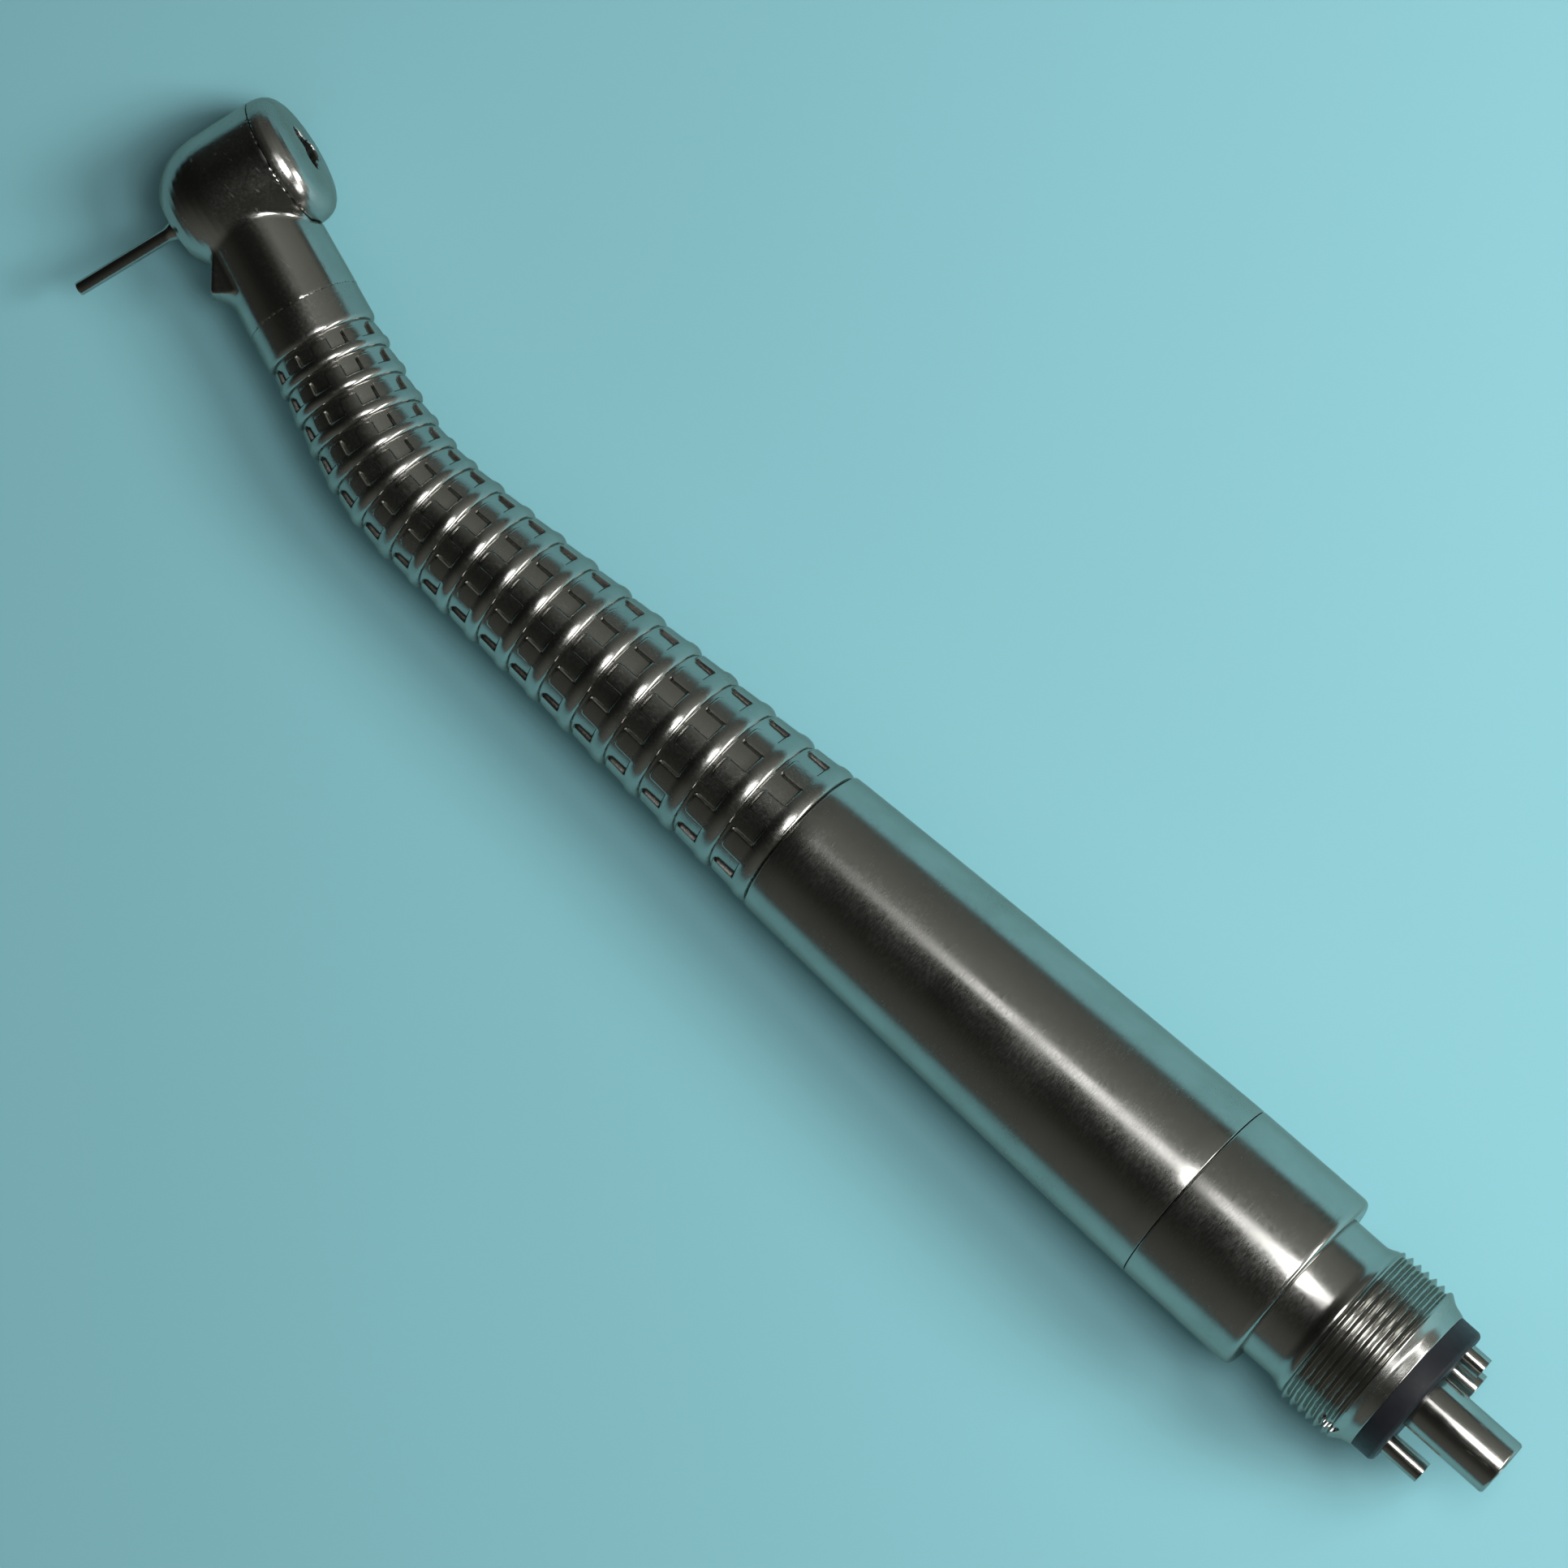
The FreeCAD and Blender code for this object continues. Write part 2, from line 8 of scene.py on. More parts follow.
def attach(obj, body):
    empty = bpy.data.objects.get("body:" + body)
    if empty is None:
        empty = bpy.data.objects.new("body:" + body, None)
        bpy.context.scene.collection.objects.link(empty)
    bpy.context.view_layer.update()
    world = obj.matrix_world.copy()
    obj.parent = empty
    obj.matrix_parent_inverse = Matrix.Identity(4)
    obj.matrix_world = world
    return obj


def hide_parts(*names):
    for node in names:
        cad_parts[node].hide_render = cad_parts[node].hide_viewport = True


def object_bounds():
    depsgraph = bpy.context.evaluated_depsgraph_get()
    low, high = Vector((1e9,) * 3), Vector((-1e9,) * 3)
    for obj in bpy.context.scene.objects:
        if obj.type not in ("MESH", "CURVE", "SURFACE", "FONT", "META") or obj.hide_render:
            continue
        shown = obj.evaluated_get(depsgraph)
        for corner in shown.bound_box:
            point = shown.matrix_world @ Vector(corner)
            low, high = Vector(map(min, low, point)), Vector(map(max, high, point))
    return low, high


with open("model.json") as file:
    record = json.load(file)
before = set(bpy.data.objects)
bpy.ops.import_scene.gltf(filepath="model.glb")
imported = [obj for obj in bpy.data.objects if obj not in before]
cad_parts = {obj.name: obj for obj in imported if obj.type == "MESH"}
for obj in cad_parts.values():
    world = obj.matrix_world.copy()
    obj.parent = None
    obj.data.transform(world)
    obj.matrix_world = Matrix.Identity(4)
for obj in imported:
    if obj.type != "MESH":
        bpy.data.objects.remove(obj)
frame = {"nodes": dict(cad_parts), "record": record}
cad_low, cad_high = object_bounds()

# ---------------------------------------------------------------- frame and main sizes, mm
joint = [j for j in frame["record"]["behaviour"]["joints"] if j["name"] == "rotor_spin"][0]
mount = [m for m in frame["record"]["mounts"] if m["name"] == "coupling_thread"][0]
PITCH = math.atan2(mount["axis"][2], mount["axis"][0])
LEVEL = Matrix.Rotation(PITCH, 4, "Y")
CAPWARD = (LEVEL @ Vector(joint["axis"])).normalized()
BEND = math.asin(CAPWARD.x)
HEAD = LEVEL @ Vector(joint["pos_m"]) * 1000
HEAD.z = 0.0
THREAD_MIDDLE = 3.7668
HEAD.x -= THREAD_MIDDLE
CORNER_X = HEAD.x + HEAD.y / math.tan(BEND)
NECK_LENGTH = HEAD.y / math.sin(BEND)
BEND_RADIUS = 25.0
TANGENT = BEND_RADIUS * math.tan(BEND / 2)
BEND_START = NECK_LENGTH - TANGENT
BEND_END = BEND_START + BEND_RADIUS * BEND
REARWARD = Vector((math.cos(BEND), -math.sin(BEND), 0))
CAPDIR = Vector((math.sin(BEND), math.cos(BEND), 0))

# design frame in mm, origin at the gasket seat, to the row frame in metres
TO_ROW = (Matrix.Rotation(-PITCH, 4, "Y") @ Matrix.Scale(0.001, 4)
          @ Matrix.Translation((THREAD_MIDDLE, 0, 0)))

# head barrel, its nose and cap ends, and the step the cap sits in
HEAD_R, HEAD_TOP, NOSE, CAP_STEP_R = 5.0, 3.9, -5.2, 5.14
CHAMBER_R, SEAT_R, RELIEF_R, NOSE_HOLE_R = 4.25, 3.6, 2.3, 1.25
LUG_HALF_WIDTH = 3.0
NECK_R, NECK_BORE, NECK_END = 4.12, 3.0, 10.0
# grip: turned ribs with rows of raised pads in the grooves between them
RIBS, RIB_FIRST, PITCH_FIRST, PITCH_LAST = 18, 12.4, 2.2, 3.65
RIB_RATIO, DEPTH, GAP = 0.42, 0.42, 0.28
PADS, PAD_ANGLE, PAD_FIRST, PAD_DROP, PAD_CORNER = 10, 19.0, 9.0, 0.14, 0.30
GRIP_REAR_R, GRIP_TENON_R, TENON_REACH = 5.93, 5.18, 6.0
# sleeve and ring, and the plug that fills them
SLEEVE_LENGTH, RING_LENGTH, RING_R = 36.6, 9.65, 7.30
PLUG_R, PLUG_REACH, WAIST_R, WAIST_REACH, WAIST_LENGTH = 6.35, 5.6, 5.9, 1.8, 3.65
# coupling thread, collar and rear tubes
COLLAR, THREAD_PITCH, TURNS, THREAD_R, THREAD_DEPTH = 1.65, 0.7056, 6, 6.55, 0.36
RUNOUT_R, COLLAR_R = 6.22, 6.5
GASKET_R, GASKET_THICK = 5.72, 1.8
EXHAUST_R, EXHAUST_BORE, EXHAUST_END, EXHAUST_AT = 2.15, 1.75, 8.8, (0.1, 2.2)
RING_REAR_X = -(COLLAR + THREAD_PITCH * (TURNS + 0.3) + WAIST_LENGTH)
RING_FRONT_X = RING_REAR_X - RING_LENGTH
SLEEVE_FRONT_X = RING_FRONT_X - SLEEVE_LENGTH
GRIP_END = SLEEVE_FRONT_X - CORNER_X - TANGENT + BEND_END


def centreline(s):
    """Point and cap-side direction on the centreline, s mm back from the head axis."""
    if s <= BEND_START:
        turn = -BEND
        point = HEAD + REARWARD * s
    elif s >= BEND_END:
        turn = 0.0
        point = Vector((CORNER_X + TANGENT + s - BEND_END, 0, 0))
    else:
        turn = -BEND + (s - BEND_START) / BEND_RADIUS
        centre = Vector((CORNER_X + TANGENT, BEND_RADIUS, 0))
        point = centre + Vector((math.sin(turn), -math.cos(turn), 0)) * BEND_RADIUS
    return point, Vector((-math.sin(turn), math.cos(turn), 0))


def envelope(s):
    """Outer radius over the ribs, s mm back from the head axis."""
    stations = [0.0, RIB_FIRST, 22.0, 30.0, GRIP_END]
    radii = [NECK_R, NECK_R + 0.13, NECK_R + 0.46, NECK_R + 0.62, GRIP_REAR_R]
    return np.interp(s, stations, radii)


# ---------------------------------------------------------------- mesh helpers
def to_object(name, points, faces, body, material, replaces=(), angle=35):
    """Mesh object from design-frame points in mm; faces are index tuples."""
    points = np.asarray(points, dtype=float)
    m = np.array(TO_ROW)
    world = points @ m[:3, :3].T + m[:3, 3]
    mesh = bpy.data.meshes.new(name)
    mesh.from_pydata(world.tolist(), [], faces)
    mesh.validate()
    mesh.update()
    for poly in mesh.polygons:
        poly.use_smooth = True
    mesh.set_sharp_from_angle(angle=math.radians(angle))
    mesh.materials.append(material)
    obj = bpy.data.objects.new(name, mesh)
    bpy.context.scene.collection.objects.link(obj)
    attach(obj, body)
    if replaces:
        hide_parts(*replaces)
    return obj


def grid_faces(rows, cols):
    """Quads of a rows x cols grid of points; the columns close into a ring."""
    r = np.arange(rows - 1)[:, None]
    c = np.arange(cols)[None, :]
    a = r * cols + c
    b = r * cols + (c + 1) % cols
    return np.stack([a, b, b + cols, a + cols], axis=-1).reshape(-1, 4)


def head_points(local):
    """Head frame to design frame: local x rearward, y down, z along the head axis to the cap."""
    local = np.asarray(local, dtype=float)
    down = Vector((0, 0, -1))
    basis = np.array([REARWARD, down, CAPDIR])
    return local @ basis + np.array(HEAD)


def body_points(local):
    """Body frame to design frame: local x is +Y, y is +Z, z is rearward."""
    local = np.asarray(local, dtype=float)
    return np.stack([local[:, 2], local[:, 0], local[:, 1]], axis=1)


def rounded(profile, radius=0.08, steps=3):
    """Profile with its corners eased by short arcs. A point may carry its own radius."""
    out = []
    count = len(profile)
    for k, item in enumerate(profile):
        p = np.array(item[:2], dtype=float)
        r = item[2] if len(item) > 2 else radius
        if k == 0 or k == count - 1 or r <= 0:
            out.append(p)
            continue
        a = np.array(profile[k - 1][:2], dtype=float) - p
        b = np.array(profile[k + 1][:2], dtype=float) - p
        la, lb = np.linalg.norm(a), np.linalg.norm(b)
        if la < 1e-6 or lb < 1e-6:
            out.append(p)
            continue
        cut = min(r, 0.45 * la, 0.45 * lb)
        start, end = p + a / la * cut, p + b / lb * cut
        for i in range(steps + 1):
            t = i / steps
            out.append((1 - t) ** 2 * start + 2 * t * (1 - t) * p + t ** 2 * end)
    return np.array(out)


def lathe(name, profile, place, body, material, segments, replaces, closed=True,
          shift=(0.0, 0.0)):
    """Turned piece from a profile of (radius, height), corners eased; place maps its frame."""
    loop = rounded(profile)
    if closed:
        loop = np.vstack([loop, loop[:1]])
    turn = np.linspace(0, 2 * math.pi, segments, endpoint=False)
    rows = len(loop)
    x = loop[:, 0][:, None] * np.cos(turn)[None, :] + shift[0]
    y = loop[:, 0][:, None] * np.sin(turn)[None, :] + shift[1]
    z = np.repeat(loop[:, 1][:, None], segments, axis=1)
    pts = np.stack([x, y, z], axis=-1).reshape(-1, 3)
    points, faces = merge_points(place(pts), grid_faces(rows, segments))
    return to_object(name, points, faces, body, material, replaces)


def merge_points(points, faces, tol=1e-5):
    """Joins equal points and drops faces that collapse."""
    key = np.round(points / tol).astype(np.int64)
    _, first, back = np.unique(key, axis=0, return_index=True, return_inverse=True)
    back = back.reshape(-1)
    merged = points[first]
    out = []
    for face in back[np.asarray(faces)]:
        clean = [int(v) for k, v in enumerate(face) if v != face[k - 1]]
        if len(set(clean)) >= 3:
            out.append(tuple(dict.fromkeys(clean)))
    return merged, out


# ---------------------------------------------------------------- implicit shapes
def outline_distance(polygon, r, z):
    """Signed distance to a closed polygon in the (radius, height) plane, negative inside."""
    best = np.full(r.shape, 1e9)
    inside = np.zeros(r.shape, dtype=bool)
    count = len(polygon)
    for k in range(count):
        ax, ay = polygon[k]
        bx, by = polygon[(k + 1) % count]
        ex, ey = bx - ax, by - ay
        wx, wy = r - ax, z - ay
        t = np.clip((wx * ex + wy * ey) / (ex * ex + ey * ey), 0, 1)
        best = np.minimum(best, (wx - ex * t) ** 2 + (wy - ey * t) ** 2)
        cross = ((ay <= z) != (by <= z))
        if ey != 0:
            at = ax + (z - ay) * ex / ey
            inside ^= cross & (r < at)
    return np.where(inside, -1, 1) * np.sqrt(best)


def join_soft(a, b, k):
    """Union of two fields with a fillet of about k mm."""
    h = np.clip(0.5 + 0.5 * (b - a) / k, 0, 1)
    return b * (1 - h) + a * h - k * h * (1 - h)


def cut_soft(a, b, k):
    """First field less the second, with the edge eased by about k mm."""
    return -join_soft(-a, b, k)


def implicit(field, low, high, step):
    """Quad mesh of the zero level of a field, one point per crossed cell, pulled on to it."""
    axes = [np.arange(low[i], high[i] + step, step) for i in range(3)]
    gx, gy, gz = np.meshgrid(*axes, indexing="ij")
    f = field(gx, gy, gz)
    inside = f < 0
    corner_sum = np.zeros(tuple(n - 1 for n in f.shape), dtype=int)
    total = np.zeros(corner_sum.shape + (3,))
    hits = np.zeros(corner_sum.shape)
    ends = (slice(None, -1), slice(1, None))
    for i in range(2):
        for j in range(2):
            for k in range(2):
                corner_sum += inside[ends[i], ends[j], ends[k]]
    active = (corner_sum > 0) & (corner_sum < 8)
    grids = (gx, gy, gz)
    for axis in range(3):
        for u in range(2):
            for v in range(2):
                a = [None, None, None]
                b = [None, None, None]
                others = [d for d in range(3) if d != axis]
                a[axis], b[axis] = slice(None, -1), slice(1, None)
                a[others[0]] = b[others[0]] = ends[u]
                a[others[1]] = b[others[1]] = ends[v]
                fa, fb = f[tuple(a)], f[tuple(b)]
                crossing = (fa < 0) != (fb < 0)
                t = np.where(crossing, fa / np.where(crossing, fa - fb, 1), 0)
                for d in range(3):
                    pa, pb = grids[d][tuple(a)], grids[d][tuple(b)]
                    total[..., d] += np.where(crossing, pa + t * (pb - pa), 0)
                hits += crossing
    index = np.full(active.shape, -1)
    index[active] = np.arange(active.sum())
    points = total[active] / hits[active][:, None]
    faces = []
    for axis in range(3):
        others = [d for d in range(3) if d != axis]
        a = [slice(1, -1)] * 3
        b = [slice(1, -1)] * 3
        a[axis], b[axis] = slice(None, -1), slice(1, None)
        fa, fb = inside[tuple(a)], inside[tuple(b)]
        for flip, mask in ((False, fa & ~fb), (True, ~fa & fb)):
            at = np.argwhere(mask)
            if not len(at):
                continue
            for d in others:
                at[:, d] += 1
            quad = []
            for du, dv in ((0, 0), (1, 0), (1, 1), (0, 1)):
                c = at.copy()
                c[:, others[0]] -= 1 - du
                c[:, others[1]] -= 1 - dv
                quad.append(index[c[:, 0], c[:, 1], c[:, 2]])
            quad = np.stack(quad, axis=1)
            if flip != (axis == 1):
                quad = quad[:, ::-1]
            faces.append(quad)
    faces = np.vstack(faces)
    faces = faces[(faces >= 0).all(axis=1)]
    # Newton steps along the field's gradient, none longer than a third of a cell
    e = 0.01
    for _ in range(6):
        x, y, z = points.T
        f0 = field(x, y, z)
        g = np.stack([field(x + e, y, z) - field(x - e, y, z),
                      field(x, y + e, z) - field(x, y - e, z),
                      field(x, y, z + e) - field(x, y, z - e)], axis=1) / (2 * e)
        size = np.maximum((g * g).sum(axis=1), 0.2)
        move = -(f0 / size)[:, None] * g
        length = np.linalg.norm(move, axis=1, keepdims=True)
        points = points + move * np.minimum(1, 0.3 * step / np.maximum(length, 1e-9))
    return points, [tuple(int(v) for v in face) for face in faces]


# ---------------------------------------------------------------- materials
def nodes_of(name):
    """New material with a principled shader joined to its output."""
    mat = bpy.data.materials.new(name)
    mat.use_nodes = True
    tree = mat.node_tree
    tree.nodes.clear()
    out = tree.nodes.new("ShaderNodeOutputMaterial")
    shader = tree.nodes.new("ShaderNodeBsdfPrincipled")
    tree.links.new(shader.outputs["BSDF"], out.inputs["Surface"])
    return mat, tree, shader


def mapped(tree, scale=(1, 1, 1), rotation=(0, 0, 0)):
    """Object coordinates, scaled and turned."""
    coords = tree.nodes.new("ShaderNodeTexCoord")
    mapping = tree.nodes.new("ShaderNodeMapping")
    mapping.inputs["Scale"].default_value = scale
    mapping.inputs["Rotation"].default_value = rotation
    tree.links.new(coords.outputs["Object"], mapping.inputs["Vector"])
    return mapping.outputs["Vector"]


def noise(tree, vector, scale, detail=4.0, rough=0.5):
    n = tree.nodes.new("ShaderNodeTexNoise")
    n.inputs["Scale"].default_value = scale
    n.inputs["Detail"].default_value = detail
    n.inputs["Roughness"].default_value = rough
    tree.links.new(vector, n.inputs["Vector"])
    return n.outputs["Fac"]


def ranged(tree, value, a, b, c, d):
    """Value mapped from a..b to c..d, and held there."""
    r = tree.nodes.new("ShaderNodeMapRange")
    r.inputs["From Min"].default_value = a
    r.inputs["From Max"].default_value = b
    r.inputs["To Min"].default_value = c
    r.inputs["To Max"].default_value = d
    tree.links.new(value, r.inputs["Value"])
    return r.outputs["Result"]


def maths(tree, kind, a, b):
    m = tree.nodes.new("ShaderNodeMath")
    m.operation = kind
    for k, v in enumerate((a, b)):
        if isinstance(v, (int, float)):
            m.inputs[k].default_value = v
        else:
            tree.links.new(v, m.inputs[k])
    return m.outputs[0]


def colour_mix(tree, fac, a, b):
    m = tree.nodes.new("ShaderNodeMix")
    m.data_type = "RGBA"
    tree.links.new(fac, m.inputs["Factor"])
    m.inputs["A"].default_value = (*a, 1)
    m.inputs["B"].default_value = (*b, 1)
    return m.outputs["Result"]


def ramp(tree, value, stops):
    """Colour ramp through (place, colour) stops."""
    r = tree.nodes.new("ShaderNodeValToRGB")
    while len(r.color_ramp.elements) < len(stops):
        r.color_ramp.elements.new(0.5)
    for element, (place, colour) in zip(r.color_ramp.elements, stops):
        element.position = place
        element.color = (*colour, 1)
    tree.links.new(value, r.inputs["Fac"])
    return r.outputs["Color"]


PLATE_LIGHT, PLATE_DARK, PLATE_TINT = (0.49, 0.485, 0.46), (0.41, 0.405, 0.38), (0.62, 0.60, 0.56)


def metal(name, rough=(0.12, 0.26), grain=(1, 60, 60), grain_strength=0.06, blotch=180.0,
          scuff=0.5):
    """Plated metal: fine grain in one direction, cloudy wear, small scratches."""
    mat, tree, shader = nodes_of(name)
    shader.inputs["Metallic"].default_value = 1.0
    shader.inputs["Specular Tint"].default_value = (*PLATE_TINT, 1)
    plain = mapped(tree)
    cloud = noise(tree, plain, blotch, 5.0, 0.6)
    along = noise(tree, mapped(tree, grain), 220.0, 3.0, 0.6)
    nicks = noise(tree, mapped(tree, (30, 260, 260), (0.2, 0.3, 0.5)), 12.0, 2.0, 0.5)
    scratch = ranged(tree, nicks, 0.66, 0.72, 0.0, 1.0)
    worn_colour = ranged(tree, cloud, 0.35, 0.68, 0.0, 1.0)
    tree.links.new(colour_mix(tree, worn_colour, PLATE_LIGHT, PLATE_DARK),
                   shader.inputs["Base Color"])
    base = ranged(tree, cloud, 0.35, 0.7, *rough)
    fine = maths(tree, "MULTIPLY", ranged(tree, along, 0.3, 0.7, -0.5, 0.5), 0.10)
    worn = maths(tree, "MULTIPLY", scratch, 0.18 * scuff)
    tree.links.new(maths(tree, "ADD", maths(tree, "ADD", base, fine), worn),
                   shader.inputs["Roughness"])
    bump = tree.nodes.new("ShaderNodeBump")
    bump.inputs["Strength"].default_value = grain_strength
    bump.inputs["Distance"].default_value = 0.000008
    height = maths(tree, "ADD", along, maths(tree, "MULTIPLY", scratch, -0.8 * scuff))
    tree.links.new(height, bump.inputs["Height"])
    tree.links.new(bump.outputs["Normal"], shader.inputs["Normal"])
    return mat


def matt(name, light, dark):
    """Rubber or plastic: fine grain, two close colours in soft clouds."""
    mat, tree, shader = nodes_of(name)
    plain = mapped(tree)
    grain = noise(tree, plain, 2800.0, 4.0, 0.6)
    cloud = noise(tree, plain, 280.0, 3.0, 0.5)
    tree.links.new(colour_mix(tree, ranged(tree, cloud, 0.3, 0.7, 0.0, 1.0), light, dark),
                   shader.inputs["Base Color"])
    tree.links.new(ranged(tree, grain, 0.2, 0.8, 0.42, 0.6), shader.inputs["Roughness"])
    shader.inputs["Specular IOR Level"].default_value = 0.3
    bump = tree.nodes.new("ShaderNodeBump")
    bump.inputs["Strength"].default_value = 0.2
    bump.inputs["Distance"].default_value = 0.00003
    tree.links.new(grain, bump.inputs["Height"])
    tree.links.new(bump.outputs["Normal"], shader.inputs["Normal"])
    return mat


head_metal = metal("head_metal", (0.13, 0.25), (20, 20, 20), blotch=220.0, scuff=0.7)
cap_metal = metal("cap_metal", (0.16, 0.28), (40, 40, 40), blotch=260.0, scuff=0.7)
grip_metal = metal("grip_metal", (0.17, 0.27), (20, 20, 20), blotch=200.0, scuff=0.3)
sleeve_metal = metal("sleeve_metal", (0.17, 0.27), (40, 10, 10), 0.22, scuff=0.12)
ring_metal = metal("ring_metal", (0.17, 0.26), (40, 10, 10), 0.22, scuff=0.12)
connector_metal = metal("connector_metal", (0.18, 0.26), (60, 8, 8), 0.02, scuff=0.15)
tube_metal = metal("tube_metal", (0.12, 0.24), (4, 50, 50))
bur_metal = metal("bur_metal", (0.10, 0.22), (50, 50, 8))
inner_metal = metal("inner_metal", (0.18, 0.3))
black_rubber = matt("black_rubber", (0.010, 0.011, 0.014), (0.022, 0.023, 0.027))
cage_plastic = matt("cage_plastic", (0.33, 0.20, 0.09), (0.25, 0.15, 0.07))

# CAD nodes that are shown as they are, with a material of their own
carried = {
    inner_metal: ("spring_washer", "cap_bearing_outer", "cap_bearing_inner", "cap_bearing_balls",
                  "nose_bearing_outer", "nose_bearing_inner", "nose_bearing_balls", "spindle",
                  "impeller", "chuck"),
    cage_plastic: ("cap_bearing_cage", "nose_bearing_cage"),
    black_rubber: ("cap_bearing_o_ring", "nose_bearing_o_ring", "body_o_ring"),
    tube_metal: ("drive_air_tube", "water_tube", "chip_air_tube"),
}
for material, nodes in carried.items():
    for node in nodes:
        obj = frame["nodes"][node]
        obj.data.materials.clear()
        obj.data.materials.append(material)


# ---------------------------------------------------------------- head, neck and cap
def nose_outline():
    """Outside of the head barrel as (radius, height): flat nose, domed shoulder, straight side."""
    start, middle, end = (2.9, NOSE + 0.3), (4.475, NOSE + 2.1), (HEAD_R, NOSE + 4.6)
    out = [(-1.0, NOSE), (1.7, NOSE), start]
    pull = [2 * middle[i] - 0.5 * (start[i] + end[i]) for i in range(2)]
    for k in range(1, 9):
        t = k / 8
        out.append(tuple((1 - t) ** 2 * start[i] + 2 * t * (1 - t) * pull[i] + t * t * end[i]
                         for i in range(2)))
    out.extend([(HEAD_R, HEAD_TOP + 1), (-1.0, HEAD_TOP + 1)])
    return out


NOSE_OUTLINE = nose_outline()


def lug_field(x, y, z):
    """Spray lug under the neck: a slab with a sloped nose side and a scooped rear end."""
    aside = np.clip(y / LUG_HALF_WIDTH, -1.2, 1.2) ** 2
    bottom = NOSE - z + 0.65 * aside
    front = (-z - 2.5 - (x - 2.6) + 0.15 * aside) * 0.7
    belly = (-z - 4.5 - (x - 4.7) * 0.6 + 0.62 * aside) * 0.86
    slant = 1.15 - 0.65 * aside
    back = (x - 7.55 + 1.15 * aside + (-z - 3.9) * slant) / np.sqrt(1 + slant ** 2)
    f = np.maximum(np.maximum(bottom, front), np.maximum(belly, back))
    return cut_soft(f, LUG_HALF_WIDTH - np.abs(y), 0.12)


def head_field(x, y, z):
    """Head barrel, neck stub and spray lug as one casting, bored for the cartridge."""
    r = np.sqrt(x * x + y * y)
    barrel = outline_distance(NOSE_OUTLINE, r, z)
    q = np.sqrt(y * y + z * z)
    neck = np.maximum(q - NECK_R - 0.013 * np.clip(x, 0, 12), -x)
    f = join_soft(barrel, neck, 0.25)
    f = join_soft(f, np.maximum(lug_field(x, y, z), z), 0.25)
    f = cut_soft(f, np.maximum(HEAD_TOP - z, r - CAP_STEP_R), 0.06)
    chamber = np.maximum(r - CHAMBER_R, -1.4 - z)
    seat = np.maximum(r - SEAT_R, -3.4 - z)
    relief = np.maximum(r - RELIEF_R, -4.2 - z)
    hole = np.maximum(r - NOSE_HOLE_R, z)
    f = cut_soft(f, np.minimum(np.minimum(chamber, seat), np.minimum(relief, hole)), 0.08)
    f = cut_soft(f, np.maximum(q - NECK_BORE, 4.3 - x), 0.05)
    return np.maximum(f, x - NECK_END)


pts, faces = implicit(head_field, (-5.4, -5.4, -5.8), (10.2, 5.4, 4.6), 0.13)
to_object("head_shell", head_points(pts), faces, "handpiece", head_metal,
          ("head_housing", "spray_block"), angle=50)


# screw cap as (radius, height): skirt, step on the barrel, rounded shoulder, slightly domed top
CAP_OUTLINE = [(-1, 4.9), (2.3, 4.9), (2.3, 4.3), (SEAT_R, 4.3), (SEAT_R, 1.9),
               (CHAMBER_R, 1.9), (CHAMBER_R, 3.9), (HEAD_R, 3.92), (HEAD_R, 4.2), (4.95, 4.55),
               (4.82, 4.95), (4.6, 5.3), (4.28, 5.58), (3.85, 5.78), (3.27, 5.91), (1.8, 5.99),
               (-1, 6.0)]
KEY_BORE_R, LOBES, LOBE_R, LOBE_OUT, KEY_FLOOR = 1.1, 3, 0.85, 1.05, 4.5


def cap_field(x, y, z):
    """Screw cap with its three-lobed key opening."""
    r = np.sqrt(x * x + y * y)
    f = outline_distance(CAP_OUTLINE, r, z)
    hole = r - KEY_BORE_R
    for k in range(LOBES):
        a = math.radians(360 / LOBES * k + 90)
        lobe_x, lobe_y = LOBE_OUT * math.cos(a), LOBE_OUT * math.sin(a)
        hole = join_soft(hole, np.sqrt((x - lobe_x) ** 2 + (y - lobe_y) ** 2) - LOBE_R, 0.1)
    return cut_soft(f, np.maximum(hole, KEY_FLOOR - z), 0.12)


pts, faces = implicit(cap_field, (-5.3, -5.3, 1.6), (5.3, 5.3, 6.2), 0.11)
to_object("cap_shell", head_points(pts), faces, "handpiece", cap_metal,
          ("head_cap",), angle=50)

ROD_R, SHANK_R, BUR_TIP, BUR_TOP = 0.53, 0.8, -13.7, 2.5
lathe("bur_rod", [(0, BUR_TIP, 0), (ROD_R - 0.05, BUR_TIP, 0), (ROD_R, BUR_TIP + 0.08),
                  (ROD_R, -6.1, 0.2), (SHANK_R, -5.4, 0.2), (SHANK_R, BUR_TOP - 0.1),
                  (SHANK_R - 0.1, BUR_TOP), (0, BUR_TOP, 0)],
      head_points, "bur", bur_metal, 64, ("bur",), closed=False)


# ---------------------------------------------------------------- grip
def rib_pitch(k):
    """Distance from rib k to the next; it grows steadily to the rear."""
    return PITCH_FIRST + (PITCH_LAST - PITCH_FIRST) * k / (RIBS - 2)


def rib_half(k):
    """Half the width of rib k."""
    return 0.5 * RIB_RATIO * rib_pitch(min(k, RIBS - 2))


def rib_places():
    """Middles of the ribs, the last one ending just ahead of the sleeve."""
    places = [RIB_FIRST]
    for k in range(RIBS - 1):
        places.append(places[-1] + rib_pitch(k))
    last = GRIP_END - 0.5 * RIB_RATIO * PITCH_LAST - 0.15
    scale = (last - RIB_FIRST) / (places[-1] - RIB_FIRST)
    return [RIB_FIRST + (p - RIB_FIRST) * scale for p in places]


